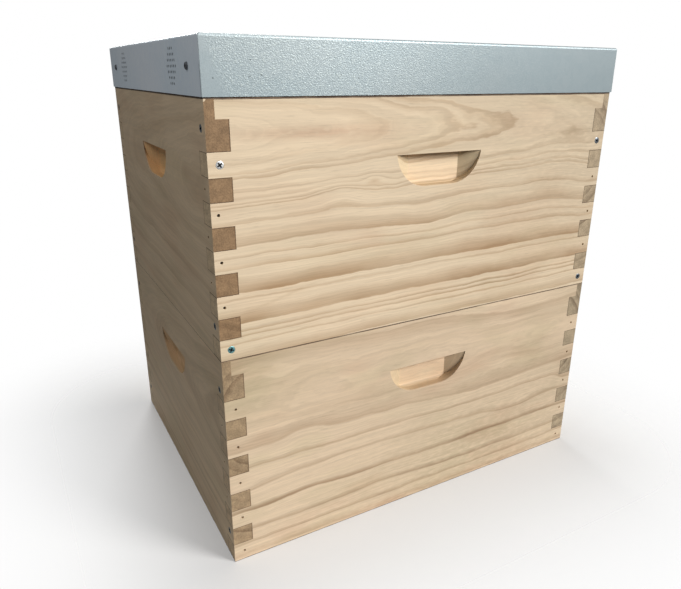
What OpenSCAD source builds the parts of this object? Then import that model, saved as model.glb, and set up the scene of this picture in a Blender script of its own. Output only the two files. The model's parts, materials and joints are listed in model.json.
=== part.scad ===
// Two-deck Langstroth beehive: two finger-jointed pine boxes, each holding ten
// movable frames of foundation, under a metal-clad ventilated lid.
//
// The origin is on the ground at the middle of the footprint. +X runs along the
// long side panels, -Y points out of the front panel and +Z is up.
// All sizes are in millimetres.

/* [Boxes] */
// Outside length of a box
box_l = 508; // [490:1:530]
// Outside width of a box
box_w = 406; // [404:1:420]
// Height of one full-depth box
box_h = 245; // [243:0.5:260]
// Thickness of the box boards
wood_t = 22; // [20:0.5:24]
// Depth of the frame rest cut along the top of the end panels
rebate_depth = 16.8; // [14:0.2:20]
// Wood left standing outside the frame rest
rebate_lip = 9.4; // [8:0.2:10]

/* [Handholds] */
// Width of a handhold at its straight top edge
hand_w = 111; // [90:1:140]
// Height of a handhold
hand_h = 34; // [30:1:40]
// Depth of a handhold
hand_depth = 12.5; // [8:0.5:14]
// Radius of the two lower corners, centred near the straight top edge
hand_corner_r = 38; // [34:1:60]
// Distance from the box top down to the handhold
hand_drop = 57.5; // [50:0.5:80]
// How far each end slopes in before the floor is flat
hand_slope = 22; // [15:1:26]
// Depth at which the sloping ends start
hand_lip = 0.6; // [0.3:0.1:2]
// Radius of the cove along the bottom of the floor
hand_cove_r = 5; // [2:0.5:6]

/* [Fixings] */
// Radius of a box screw's countersunk head
screw_head_r = 3.8; // [3:0.1:4.5]
// Height of the head's cone
screw_head_h = 2.4; // [1.5:0.1:3]
// Radius of a box screw's shank
screw_shank_r = 2.1; // [1.5:0.1:2.5]
// Radius of a box nail
nail_r = 1.3; // [1:0.1:1.6]
// How far the nail heads are punched below the surface
nail_sink = 2; // [0.5:0.1:3]
// Length of the box screws and nails
fixing_l = 50; // [40:1:60]
// Distance of the screws from the panel's end
screw_inset = 11; // [9:0.5:14]
// Distance of the upper box's side nails from the left and the right end
upper_nail_insets = [7, 10]; // [6:0.5:14]
// Distance of the lower box's side nails from the left and the right end
lower_nail_insets = [11.5, 11.5]; // [6:0.5:14]
// Distance of the end panels' fixings from the box's face
end_inset = 13; // [10:0.5:15]
// Drop of the first end fixing below the top of the lower and of the upper box
first_end_drop = [36, 25]; // [22:1:38]

/* [Lid] */
// Height of the lid's wooden rim
rim_h = 45; // [40:1:55]
// Thickness of the rim
rim_t = 20; // [16:1:22]
// Thickness of the board on the rim
lid_board_t = 5.8; // [4:0.1:9]
// Thickness of the metal cover
cover_t = 0.8; // [0.5:0.1:1]
// Gap between the metal skirt and the rim
cover_gap = 0.5; // [0.3:0.1:1]
// Gap between the skirt's lower edge and the top of the box
skirt_gap = 1.5; // [0.5:0.1:4]
// Width of the slit where two skirts meet at a corner
corner_slit = 0.6; // [0.3:0.1:1]
// Height of that slit
corner_slit_h = 26; // [10:1:40]

/* [Lid vents] */
// Places of the two vents along each lid end
vent_ys = [-114, 114]; // [-150:1:150]
// Height of the vents and of the lid screws above the rim's lower edge
vent_z = 26.3; // [22:0.1:30]
// Radius of the bore through the rim behind each vent
vent_bore_r = 14; // [8:1:16]
// Radius of a perforation in the skirt
perforation_r = 1.4; // [0.8:0.1:1.8]
// Distance between perforations in a row
perforation_pitch = 6; // [5:0.5:6]
// Perforations in the longest row
perforations = 6; // [5:1:6]
// Rows above and below the longest row
perforation_rows = 3; // [2:1:3]
// Places of the two screws along each lid end
lid_screw_ys = [-167, 167]; // [-172:1:172]
// Radius of a lid screw's pan head
lid_screw_head_r = 3.5; // [2.5:0.1:4]

/* [Frames] */
// Frames in each box
frames = 10; // [8:1:10]
// Length of a top bar over its lugs
top_bar_l = 482.6; // [478:0.2:484]
// Width of a top bar
top_bar_w = 27; // [25:0.5:28]
// Thickness of a top bar between the end bars
top_bar_t = 20; // [17:0.5:22]
// Thickness of the lugs that hang on the frame rest
lug_t = 10; // [9:0.5:12]
// Width of the lugs
lug_w = 22; // [18:0.5:24]
// Length of a frame over its end bars
frame_l = 448; // [440:1:450]
// Height of a frame
frame_h = 232; // [225:1:232]
// Thickness of the end bars
end_bar_t = 9.5; // [8:0.5:12]
// Width of the end bars' self-spacing shoulders
shoulder_w = 35; // [32:0.5:35]
// Width of the end bars below the shoulders
end_bar_w = 28.5; // [25:0.5:30]
// Height of the shoulders
shoulder_h = 85; // [60:1:100]
// Thickness of a bottom bar
bottom_bar_t = 9.5; // [8:0.5:12]
// Width of a bottom bar
bottom_bar_w = 19; // [16:0.5:20]
// Thickness of the foundation sheet over its cell walls
foundation_t = 4; // [3:0.5:6]
// Thickness of the foundation's plain upper and lower edges
foundation_edge_t = 2.5; // [1.5:0.5:2.5]

/* [Hidden] */
$fn = 48;

// Overshoot that keeps cutting faces apart from the faces they cut
over = 1;
// Clearance round a fixing or an edge in its hole, groove or pocket
clearance = 0.15;

DECKS = ["lower", "upper"];
LOWER = 0;
UPPER = 1;

// The corner is divided into equal fingers, the first of which is double
finger_units = 11;
finger_h = box_h / finger_units;
fixings_per_edge = 5;

lid_z = 2 * box_h;
skirt_x = box_l / 2 + cover_gap + cover_t;
skirt_y = box_w / 2 + cover_gap + cover_t;
skirt_z = lid_z + skirt_gap;
cover_top_z = lid_z + rim_h + lid_board_t + cover_t;
lid_screw_l = 20;
lid_screw_shank_r = 1.8;
lid_screw_head_h = 1.8;
rim_nail_l = 45;
rim_nail_drops = [12, 33];
board_nails_long = 5;
board_nails_short = 3;
board_nail_r = 1.1;
board_nail_l = 25;
board_nail_head_r = 2.4;
board_nail_head_t = 0.8;

frame_pitch = (box_w - 2 * wood_t - 2) / frames;
shoulder_taper = 12;
groove_t = foundation_edge_t + 2 * clearance;
groove_depth = 4.5;

pine = [0.87, 0.76, 0.60];
pale_pine = [0.90, 0.82, 0.68];
zinc = [0.62, 0.68, 0.70];
steel = [0.66, 0.68, 0.70];
dark_steel = [0.30, 0.31, 0.33];
hardboard = [0.45, 0.32, 0.22];
wax = [0.93, 0.80, 0.36];

function box_z(deck) = deck * box_h;
function box_top(deck) = (deck + 1) * box_h;
function frame_y(n) = (n - (frames + 1) / 2) * frame_pitch;
// Top of a frame: its lugs stand on the frame rest
function frame_top(deck) = box_top(deck) - rebate_depth + lug_t;

// How far below the box top the k-th fixing through a side panel's finger is
function side_drop(k) = (2 * k + 2.5) * finger_h;
// The same for the fixings through an end panel's fingers
function end_drop(deck, k) = k == 0 ? first_end_drop[deck] : (2 * k + 1.5) * finger_h;
function first_or_last(k) = k == 0 || k == fixings_per_edge - 1;
function side_is_screw(deck, k) = deck == UPPER && first_or_last(k);
function nail_insets(deck) = deck == UPPER ? upper_nail_insets : lower_nail_insets;
function side_inset(deck, k, end) =
    side_is_screw(deck, k) ? screw_inset : nail_insets(deck)[end < 0 ? 0 : 1];

// Draws its children and their mirror image
module mirrored(normal) {
    children();
    mirror(normal) children();
}

// ---- Fixings ---------------------------------------------------------------

// Puts its children at the side panels' fixings of one kind, +Z out of the face
module at_side_fixings(deck, screws) {
    for (end = [-1, 1], side = [-1, 1], k = [0:fixings_per_edge - 1])
        if (side_is_screw(deck, k) == screws)
            translate([end * (box_l / 2 - side_inset(deck, k, end)),
                       side * box_w / 2,
                       box_top(deck) - side_drop(k)])
                rotate([-90 * side, 0, 0]) children();
}

// Puts its children at the end panels' fixings of one kind, +Z out of the face
module at_end_fixings(deck, screws) {
    for (end = [-1, 1], side = [-1, 1], k = [0:fixings_per_edge - 1])
        if (first_or_last(k) == screws)
            translate([end * box_l / 2,
                       side * (box_w / 2 - end_inset),
                       box_top(deck) - end_drop(deck, k)])
                rotate([0, 90 * end, 0]) children();
}

// Countersunk screw with its head flush at z = 0, grown all round by grow
module screw_body(grow) {
    head_r = screw_head_r + grow;
    shank_r = screw_shank_r + grow;
    rotate_extrude()
        polygon([[0, grow], [head_r, grow], [head_r, 0], [shank_r, -screw_head_h],
                 [shank_r, -fixing_l + 5], [0.4, -fixing_l - grow], [0, -fixing_l - grow]]);
}

// Cross-shaped driver recess, cut down from z = top
module driver_recess(top, width, depth) {
    for (turn = [0, 90])
        rotate([0, 0, turn])
            translate([-width / 2, -width / 8, top - depth])
                cube([width, width / 4, depth + over]);
}

module box_screw() {
    difference() {
        screw_body(0);
        driver_recess(0, 4.6, 1.6);
    }
}

module screw_hole() {
    screw_body(clearance);
}

// Bullet-head nail, punched below the surface
module box_nail() {
    translate([0, 0, -fixing_l]) cylinder(r = nail_r, h = fixing_l - nail_sink);
}

module nail_hole() {
    translate([0, 0, -fixing_l - clearance])
        cylinder(r = nail_r + clearance, h = fixing_l + clearance + over);
}

module fixing_holes(deck) {
    at_side_fixings(deck, true) screw_hole();
    at_side_fixings(deck, false) nail_hole();
    at_end_fixings(deck, true) screw_hole();
    at_end_fixings(deck, false) nail_hole();
}

module box_screws(deck) {
    color(steel) {
        at_side_fixings(deck, true) box_screw();
        at_end_fixings(deck, true) box_screw();
    }
}

module box_nails(deck) {
    color(dark_steel) {
        at_side_fixings(deck, false) box_nail();
        at_end_fixings(deck, false) box_nail();
    }
}

// ---- Box panels --------------------------------------------------------------

// Outline of a handhold on the face, with z = 0 at its straight top edge
module hand_outline() {
    corner_z = hand_corner_r - hand_h;
    corner_x = hand_w / 2 - sqrt(pow(hand_corner_r, 2) - pow(corner_z, 2));
    intersection() {
        translate([-hand_w, -hand_h]) square([2 * hand_w, hand_h]);
        union() {
            translate([-corner_x, -hand_h]) square([2 * corner_x, hand_h]);
            for (side = [-1, 1])
                translate([side * corner_x, corner_z]) circle(r = hand_corner_r);
        }
    }
}

// Level section of a handhold: a flat floor between two sloping ends
module hand_level_section() {
    floor_x = hand_w / 2 - hand_slope;
    mouth_x = hand_w / 2 + (hand_lip + over) * hand_slope / (hand_depth - hand_lip);
    polygon([
        [-mouth_x, over], [-floor_x, -hand_depth], [floor_x, -hand_depth], [mouth_x, over]
    ]);
}

// Upright section of a handhold: square at the top, coved at the bottom
module hand_upright_section() {
    translate([-hand_depth, hand_cove_r - hand_h])
        square([hand_depth + over, hand_h - hand_cove_r]);
    translate([hand_cove_r - hand_depth, -hand_h])
        square([hand_depth - hand_cove_r + over, hand_h]);
    translate([hand_cove_r - hand_depth, hand_cove_r - hand_h])
        circle(r = hand_cove_r);
}

// Handhold cutter with the face in the XZ plane, the board on its +Y side
module handhold() {
    intersection() {
        translate([0, hand_depth, 0]) rotate([90, 0, 0])
            linear_extrude(hand_depth + over) hand_outline();
        translate([0, 0, -hand_h]) mirror([0, 1, 0])
            linear_extrude(hand_h) hand_level_section();
        translate([hand_w, 0, 0]) rotate([90, 0, -90])
            linear_extrude(2 * hand_w) hand_upright_section();
    }
}

// Corner blocks that the end panels' fingers fill, cut out of a side panel.
// The first is L-shaped, because the frame rest runs out through the corner.
module end_finger_blocks(deck) {
    across = wood_t + 2 * over;
    mirrored([1, 0, 0])
        translate([-box_l / 2 - over, -box_w / 2 - over, box_top(deck)]) {
            translate([0, 0, -rebate_depth])
                cube([rebate_lip + over, across, rebate_depth + over]);
            translate([0, 0, -2 * finger_h])
                cube([wood_t + over, across, 2 * finger_h - rebate_depth]);
            for (unit = [3:2:finger_units - 2])
                translate([0, 0, -(unit + 1) * finger_h])
                    cube([wood_t + over, across, finger_h]);
        }
}

// Corner blocks that the side panels' fingers fill, cut out of the left end
module side_finger_blocks(deck) {
    mirrored([0, 1, 0])
        translate([-box_l / 2 - over, -box_w / 2 - over, box_top(deck)])
            for (unit = [2:2:finger_units - 1]) {
                below = unit == finger_units - 1 ? over : 0;
                translate([0, 0, -(unit + 1) * finger_h - below])
                    cube([wood_t + 2 * over, wood_t + over, finger_h + below]);
            }
}

// Front panel before its fixing holes; the back panel is its mirror image
module side_board(deck) {
    difference() {
        translate([-box_l / 2, -box_w / 2, box_z(deck)]) cube([box_l, wood_t, box_h]);
        end_finger_blocks(deck);
        translate([0, -box_w / 2, box_top(deck) - hand_drop]) handhold();
    }
}

// Left end before its fixing holes; the right end is its mirror image
module end_board(deck) {
    difference() {
        translate([-box_l / 2, -box_w / 2, box_z(deck)]) cube([wood_t, box_w, box_h]);
        side_finger_blocks(deck);
        translate([rebate_lip - box_l / 2, -box_w / 2 - over, box_top(deck) - rebate_depth])
            cube([wood_t, box_w + 2 * over, rebate_depth + over]);
        translate([-box_l / 2, 0, box_top(deck) - hand_drop]) rotate([0, 0, -90]) handhold();
    }
}

module front_panel(deck) {
    color(pine) difference() {
        side_board(deck);
        fixing_holes(deck);
    }
}

module back_panel(deck) {
    color(pine) difference() {
        mirror([0, 1, 0]) side_board(deck);
        fixing_holes(deck);
    }
}

module left_end(deck) {
    color(pine) difference() {
        end_board(deck);
        fixing_holes(deck);
    }
}

module right_end(deck) {
    color(pine) difference() {
        mirror([1, 0, 0]) end_board(deck);
        fixing_holes(deck);
    }
}

// ---- Frames ------------------------------------------------------------------

// Top bar with its lugs, its upper face at z = 0
module top_bar() {
    body_l = frame_l - 2 * (end_bar_t + clearance);
    difference() {
        union() {
            translate([-top_bar_l / 2, -lug_w / 2, -lug_t]) cube([top_bar_l, lug_w, lug_t]);
            translate([-body_l / 2, -top_bar_w / 2, -top_bar_t])
                cube([body_l, top_bar_w, top_bar_t]);
        }
        translate([-body_l / 2 - over, -groove_t / 2, -top_bar_t - over])
            cube([body_l + 2 * over, groove_t, groove_depth + over]);
    }
}

// End bar on the +X side: forked round the top bar and notched for the bottom bar
module end_bar() {
    shoulder = shoulder_w / 2;
    lower = end_bar_w / 2;
    fork = lug_w / 2 + clearance;
    fork_bottom = -lug_t - clearance;
    notch = bottom_bar_w / 2 + clearance;
    notch_top = bottom_bar_t + clearance - frame_h;
    translate([frame_l / 2 - end_bar_t, 0, 0]) rotate([90, 0, 90])
        linear_extrude(end_bar_t)
            polygon([
                [fork, 0], [shoulder, 0], [shoulder, -shoulder_h],
                [lower, -shoulder_h - shoulder_taper], [lower, -frame_h],
                [notch, -frame_h], [notch, notch_top],
                [-notch, notch_top], [-notch, -frame_h],
                [-lower, -frame_h], [-lower, -shoulder_h - shoulder_taper],
                [-shoulder, -shoulder_h], [-shoulder, 0],
                [-fork, 0], [-fork, fork_bottom], [fork, fork_bottom]
            ]);
}

module bottom_bar() {
    groove_l = frame_l - 2 * end_bar_t;
    difference() {
        translate([-frame_l / 2, -bottom_bar_w / 2, -frame_h])
            cube([frame_l, bottom_bar_w, bottom_bar_t]);
        translate([-groove_l / 2, -groove_t / 2, bottom_bar_t - frame_h - groove_depth])
            cube([groove_l, groove_t, groove_depth + over]);
    }
}

module frame_wood(deck, n) {
    color(pale_pine) translate([0, frame_y(n), frame_top(deck)]) {
        top_bar();
        mirrored([1, 0, 0]) end_bar();
        bottom_bar();
    }
}

// Sheet of foundation: a thick cell field with a thin edge in each bar's groove
module frame_foundation(deck, n) {
    sheet_l = frame_l - 2 * end_bar_t - 2;
    gap = 0.5;
    field_top = -top_bar_t - gap;
    field_bottom = bottom_bar_t - frame_h + gap;
    edge = groove_depth - gap;
    color(wax) translate([-sheet_l / 2, frame_y(n), frame_top(deck)]) {
        translate([0, -foundation_t / 2, field_bottom])
            cube([sheet_l, foundation_t, field_top - field_bottom]);
        translate([0, -foundation_edge_t / 2, field_bottom - gap - edge])
            cube([sheet_l, foundation_edge_t, field_top - field_bottom + 2 * (gap + edge)]);
    }
}

// ---- Lid -----------------------------------------------------------------------

// Puts its children at both lid ends at each of the places ys, +Z out of the face
module at_lid_ends(ys, x) {
    for (end = [-1, 1], y = ys)
        translate([end * x, y, lid_z + vent_z]) rotate([0, 90 * end, 0]) children();
}

// Puts its children at the nails that hold the rim's corners, +Z out of the face
module at_rim_nails() {
    for (end = [-1, 1], side = [-1, 1], drop = rim_nail_drops)
        translate([end * (box_l - rim_t) / 2, side * box_w / 2, lid_z + rim_h - drop])
            rotate([-90 * side, 0, 0]) children();
}

// Puts its children at the nails that hold the board on the rim
module at_board_nails() {
    inset = rim_t / 2;
    step_x = (box_l - 6 * inset) / (board_nails_long - 1);
    step_y = (box_w - 10 * inset) / (board_nails_short - 1);
    for (side = [-1, 1]) {
        for (i = [0:board_nails_long - 1])
            translate([-box_l / 2 + 3 * inset + i * step_x, side * (box_w / 2 - inset),
                       lid_z + rim_h + lid_board_t]) children();
        for (i = [0:board_nails_short - 1])
            translate([side * (box_l / 2 - inset), -box_w / 2 + 5 * inset + i * step_y,
                       lid_z + rim_h + lid_board_t]) children();
    }
}

// Shank of a pan-head screw whose head stands on z = 0, grown all round by grow
module lid_screw_shank(grow) {
    translate([0, 0, -lid_screw_l - grow])
        cylinder(r = lid_screw_shank_r + grow, h = lid_screw_l + grow);
}

module lid_screws() {
    color(dark_steel) at_lid_ends(lid_screw_ys, skirt_x) {
        lid_screw_shank(0);
        difference() {
            cylinder(r1 = lid_screw_head_r, r2 = lid_screw_head_r - 0.8, h = lid_screw_head_h);
            driver_recess(lid_screw_head_h, 4, 1.2);
        }
    }
}

// Flat-head nail with its head let into the surface at z = 0
module board_nail(grow) {
    translate([0, 0, -board_nail_head_t - grow])
        cylinder(r = board_nail_head_r + grow, h = board_nail_head_t + grow);
    translate([0, 0, -board_nail_l - grow])
        cylinder(r = board_nail_r + grow, h = board_nail_l - board_nail_head_t + grow);
}

module rim_nail(grow) {
    translate([0, 0, -rim_nail_l - grow]) cylinder(r = nail_r + grow, h = rim_nail_l + grow);
}

module lid_nails() {
    color(dark_steel) {
        at_rim_nails() rim_nail(0);
        at_board_nails() board_nail(0);
    }
}

module lid_holes() {
    at_lid_ends(lid_screw_ys, skirt_x) lid_screw_shank(clearance);
    at_rim_nails() rim_nail(clearance);
    at_board_nails() board_nail(clearance);
}

module rim_long(side) {
    color(pine) difference() {
        translate([-box_l / 2, side * (box_w - rim_t) / 2 - rim_t / 2, lid_z])
            cube([box_l, rim_t, rim_h]);
        lid_holes();
    }
}

module rim_short(end) {
    color(pine) difference() {
        translate([end * (box_l - rim_t) / 2 - rim_t / 2, rim_t - box_w / 2, lid_z])
            cube([rim_t, box_w - 2 * rim_t, rim_h]);
        lid_holes();
        at_lid_ends(vent_ys, box_l / 2)
            translate([0, 0, -rim_t - over]) cylinder(r = vent_bore_r, h = rim_t + 2 * over);
    }
}

module lid_board() {
    color(hardboard) difference() {
        translate([-box_l / 2, -box_w / 2, lid_z + rim_h]) cube([box_l, box_w, lid_board_t]);
        at_board_nails() board_nail(clearance);
    }
}

// Rows of perforations, staggered by half a pitch, longest in the middle
module perforations() {
    for (row = [-perforation_rows:perforation_rows]) {
        count = perforations - abs(row);
        for (i = [0:count - 1])
            translate([-row * perforation_pitch * sin(60),
                       (i - (count - 1) / 2) * perforation_pitch, -cover_t - over])
                cylinder(r = perforation_r, h = cover_t + 2 * over);
    }
}

// Slits where the end skirts meet the long skirts
module corner_slits() {
    for (end = [-1, 1], side = [-1, 1])
        translate([end * (skirt_x - cover_t / 2) - cover_t,
                   side * (skirt_y - cover_t - corner_slit / 2) - corner_slit / 2,
                   skirt_z - over])
            cube([2 * cover_t, corner_slit, corner_slit_h + over]);
}

module lid_cover() {
    color(zinc) difference() {
        translate([-skirt_x, -skirt_y, skirt_z])
            cube([2 * skirt_x, 2 * skirt_y, cover_top_z - skirt_z]);
        translate([cover_t - skirt_x, cover_t - skirt_y, skirt_z - over])
            cube([2 * (skirt_x - cover_t), 2 * (skirt_y - cover_t),
                  cover_top_z - cover_t - skirt_z + over]);
        at_lid_ends(vent_ys, skirt_x) perforations();
        at_lid_ends(lid_screw_ys, skirt_x) lid_screw_shank(clearance);
        corner_slits();
    }
}

// ---- Nodes ----------------------------------------------------------------------

for (deck = [LOWER, UPPER]) {
    name = DECKS[deck];
    front_panel(deck);
    back_panel(deck);
    left_end(deck);
    right_end(deck);
    box_screws(deck);
    box_nails(deck);
    for (n = [1:frames]) {
        frame_wood(deck, n);
        frame_foundation(deck, n);
    }
}
rim_long(-1);  // lid_rim_front
rim_long(1);  // lid_rim_back
rim_short(-1);  // lid_rim_left
rim_short(1);  // lid_rim_right
lid_board();
lid_cover();
lid_screws();
lid_nails();
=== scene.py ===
"""Looks of a stacked Langstroth beehive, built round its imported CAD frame.

Every board is cut from a round log: its colour comes from the distance to a pith
line, so faces, finger ends and handholds show one and the same set of rings.
All lengths are in metres, in the frame of the CAD model.
"""

import json
import math
import random

import bmesh
import bpy
from mathutils import Matrix, Vector

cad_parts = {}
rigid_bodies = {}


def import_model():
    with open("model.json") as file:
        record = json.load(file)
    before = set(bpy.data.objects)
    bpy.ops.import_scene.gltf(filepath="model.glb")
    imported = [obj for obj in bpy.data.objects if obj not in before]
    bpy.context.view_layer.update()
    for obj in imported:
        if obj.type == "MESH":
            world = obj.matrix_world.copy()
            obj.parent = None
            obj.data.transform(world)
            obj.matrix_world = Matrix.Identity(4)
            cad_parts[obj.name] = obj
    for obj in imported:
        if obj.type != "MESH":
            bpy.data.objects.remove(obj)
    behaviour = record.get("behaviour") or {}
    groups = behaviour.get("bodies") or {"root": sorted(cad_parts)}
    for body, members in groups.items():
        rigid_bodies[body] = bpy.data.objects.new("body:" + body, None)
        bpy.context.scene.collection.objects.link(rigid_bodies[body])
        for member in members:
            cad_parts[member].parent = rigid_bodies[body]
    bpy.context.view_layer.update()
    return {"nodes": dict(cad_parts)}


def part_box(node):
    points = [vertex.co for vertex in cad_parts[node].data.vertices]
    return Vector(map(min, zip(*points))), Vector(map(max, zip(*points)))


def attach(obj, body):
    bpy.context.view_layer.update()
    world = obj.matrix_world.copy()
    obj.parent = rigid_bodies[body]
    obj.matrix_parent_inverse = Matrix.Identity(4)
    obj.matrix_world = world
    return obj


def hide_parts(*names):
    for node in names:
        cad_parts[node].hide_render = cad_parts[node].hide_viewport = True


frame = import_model()
NODES = frame["nodes"]
MM = 0.001
X, Y, Z = 0, 1, 2
DECKS = ("lower", "upper")
FRAMES = range(1, 11)


# ---- Camera ------------------------------------------------------------------

CAMERA_AT = (-0.41302, -0.73115, 0.51116)
CAMERA_AZIMUTH = math.radians(29.67)
CAMERA_TILT = math.radians(-19.83)
CAMERA_ROLL = math.radians(0.42)
CAMERA_LENS = 32.34
CAMERA_SHIFT = (-0.0115, -0.001)


def make_camera():
    data = bpy.data.cameras.new("camera")
    data.sensor_width = 36
    data.lens = CAMERA_LENS
    data.shift_x, data.shift_y = CAMERA_SHIFT
    data.clip_start = 0.01
    camera = bpy.data.objects.new("camera", data)
    level = math.cos(CAMERA_TILT)
    ahead = Vector((math.sin(CAMERA_AZIMUTH) * level, math.cos(CAMERA_AZIMUTH) * level,
                    math.sin(CAMERA_TILT)))
    right = Vector((math.cos(CAMERA_AZIMUTH), -math.sin(CAMERA_AZIMUTH), 0))
    up = right.cross(ahead)
    rolled_right = math.cos(CAMERA_ROLL) * right + math.sin(CAMERA_ROLL) * up
    rolled_up = math.cos(CAMERA_ROLL) * up - math.sin(CAMERA_ROLL) * right
    turn = Matrix((rolled_right, rolled_up, -ahead)).transposed()
    camera.matrix_world = Matrix.Translation(CAMERA_AT) @ turn.to_4x4()
    bpy.context.scene.collection.objects.link(camera)
    bpy.context.scene.camera = camera


# ---- Shader building ---------------------------------------------------------

def linear(red, green, blue):
    """The linear colour of an sRGB colour given from 0 to 255."""
    def one(value):
        value /= 255
        return value / 12.92 if value <= 0.04045 else ((value + 0.055) / 1.055) ** 2.4
    return (one(red), one(green), one(blue), 1.0)


class Shader:
    """A material's node tree, with one short call for each kind of node."""

    def __init__(self, name):
        self.material = bpy.data.materials.new(name)
        self.material.use_nodes = True
        self.tree = self.material.node_tree
        self.bsdf = self.tree.nodes["Principled BSDF"]

    def add(self, kind, **settings):
        node = self.tree.nodes.new(kind)
        for key, value in settings.items():
            setattr(node, key, value)
        return node

    def put(self, socket, value):
        if isinstance(value, bpy.types.NodeSocket):
            self.tree.links.new(value, socket)
        else:
            socket.default_value = value

    def math(self, operation, *values, clamp=False):
        node = self.add("ShaderNodeMath", operation=operation, use_clamp=clamp)
        for socket, value in zip(node.inputs, values):
            self.put(socket, value)
        return node.outputs[0]

    def total(self, *values):
        result = values[0]
        for value in values[1:]:
            result = self.math("ADD", result, value)
        return result

    def product(self, *values):
        result = values[0]
        for value in values[1:]:
            result = self.math("MULTIPLY", result, value)
        return result

    def minus(self, first, second):
        return self.math("SUBTRACT", first, second)

    def absolute(self, value):
        return self.math("ABSOLUTE", value)

    def centred(self, value):
        """Moves a value between 0 and 1 to between -0.5 and 0.5."""
        return self.total(value, -0.5)

    def remap(self, value, low, high, to_low=0.0, to_high=1.0, smooth=True):
        kind = "SMOOTHSTEP" if smooth else "LINEAR"
        node = self.add("ShaderNodeMapRange", interpolation_type=kind)
        for socket, number in zip(node.inputs, (value, low, high, to_low, to_high)):
            self.put(socket, number)
        return node.outputs[0]

    def mix(self, factor, first, second, blend="MIX"):
        node = self.add("ShaderNodeMix", data_type="RGBA", blend_type=blend)
        self.put(node.inputs["Factor"], factor)
        self.put(node.inputs[6], first)
        self.put(node.inputs[7], second)
        return node.outputs[2]

    def tint(self, colour, tint, factor=1.0):
        """Multiplies a colour by a tint, as far as factor goes."""
        return self.mix(factor, colour, tint, "MULTIPLY")

    def shade(self, colour, brightness):
        return self.tint(colour, self.vector(brightness, brightness, brightness))

    def position(self):
        """The three coordinates at rest, so that a pattern moves with its piece."""
        return self.split(self.add("ShaderNodeTexCoord").outputs["Object"])

    def normal(self):
        """The three parts of the surface's direction, in the piece's own frame."""
        return self.split(self.add("ShaderNodeTexCoord").outputs["Normal"])

    def split(self, vector):
        node = self.add("ShaderNodeSeparateXYZ")
        self.put(node.inputs[0], vector)
        return list(node.outputs)

    def vector(self, *values):
        node = self.add("ShaderNodeCombineXYZ")
        for socket, value in zip(node.inputs, values):
            self.put(socket, value)
        return node.outputs[0]

    def noise(self, coordinates, scales, seed, detail=2.0, rough=0.5):
        """Noise with its own number of cycles per metre on each axis."""
        stretched = [self.total(self.product(c, s), seed * 3.7 + 11.3 * i)
                     for i, (c, s) in enumerate(zip(coordinates, scales))]
        node = self.add("ShaderNodeTexNoise")
        node.inputs["Scale"].default_value = 1.0
        node.inputs["Detail"].default_value = detail
        node.inputs["Roughness"].default_value = rough
        self.put(node.inputs["Vector"], self.vector(*stretched))
        return node.outputs

    def cells(self, coordinates, per_metre, feature="F1"):
        node = self.add("ShaderNodeTexVoronoi", feature=feature)
        node.inputs["Scale"].default_value = per_metre
        self.put(node.inputs["Vector"], self.vector(*coordinates))
        return node.outputs

    def bump(self, height, distance, strength=1.0, under=None):
        node = self.add("ShaderNodeBump")
        node.inputs["Distance"].default_value = distance
        self.put(node.inputs["Strength"], strength)
        self.put(node.inputs["Height"], height)
        if under is not None:
            self.put(node.inputs["Normal"], under)
        return node.outputs[0]

    def ramp(self, factor, stops):
        """A ramp of greys through stops, which are (place, brightness) in order."""
        node = self.add("ShaderNodeValToRGB")
        points = node.color_ramp.elements
        for point, (place, grey) in ((points[0], stops[0]), (points[1], stops[-1])):
            point.position = place
            point.color = (grey, grey, grey, 1)
        for place, grey in stops[1:-1]:
            points.new(place).color = (grey, grey, grey, 1)
        self.put(node.inputs[0], factor)
        return node.outputs[0]

    def spot(self, coordinates, centre, spread, turn=0.0):
        """1 at centre, fading to 0 over spread on each axis; turn is in degrees."""
        away = [self.total(axis, -place) for axis, place in zip(coordinates, centre)]
        if turn:
            cos = math.cos(math.radians(turn))
            sin = math.sin(math.radians(turn))
            away = [self.total(self.product(away[0], cos), self.product(away[1], sin)),
                    self.total(self.product(away[1], cos), self.product(away[0], -sin))]
        terms = []
        for distance, width in zip(away, spread):
            share = self.product(distance, 1 / width)
            terms.append(self.product(share, share))
        return self.math("EXPONENT", self.product(self.total(*terms), -1.0))


# ---- Wood --------------------------------------------------------------------

FACE_HALF_Y = -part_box("upper_front_panel")[0].y
FACE_HALF_X = -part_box("upper_left_end")[0].x
BOX_TOPS = {deck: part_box(deck + "_front_panel")[1].z for deck in DECKS}
BOARD_T = 22 * MM
HAND_DROP = 57.5 * MM
HAND_H = 34 * MM
HAND_HALF_W = 57 * MM  # a little more than half of its width
FINGER_H = (BOX_TOPS["upper"] - BOX_TOPS["lower"]) / 11
RINGS_PER_RAMP = 7
WOBBLE = 5 * MM


def growth_rings(seed, first, widths, last=260):
    """Rings as (outer radius, width of the dark late wood, how dark it is), in mm."""
    chance = random.Random(seed)
    rings = []
    radius = first
    while radius < last:
        width = chance.uniform(*widths)
        rings.append((radius, width * chance.uniform(0.25, 0.7), chance.uniform(0.3, 0.9)))
        radius += width
    return rings


def late_wood_at(s, radius, rings, edge):
    """How dark the wood is: a slow rise from pale early wood to each ring's edge."""
    darkness = None
    for first in range(0, len(rings), RINGS_PER_RAMP):
        group = rings[first:first + RINGS_PER_RAMP]
        low = group[0][0] - group[0][1] - 1
        high = group[-1][0] + edge + 1
        stops = [(0.0, 0.0)]
        for outer, late, dark in group:
            begin = max(outer - late, low + stops[-1][0] * (high - low) + 0.1)
            for place, level in ((begin, 0.0), ((begin + outer) / 2, 0.55),
                                 (outer, 1.0), (outer + edge, 0.0)):
                stops.append(((place - low) / (high - low), level * dark))
        stops.append((1.0, 0.0))
        share = s.remap(radius, low * MM, high * MM, smooth=False)
        ramp = s.ramp(share, stops)
        darkness = ramp if darkness is None else s.math("MAXIMUM", darkness, ramp)
    return darkness


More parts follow.
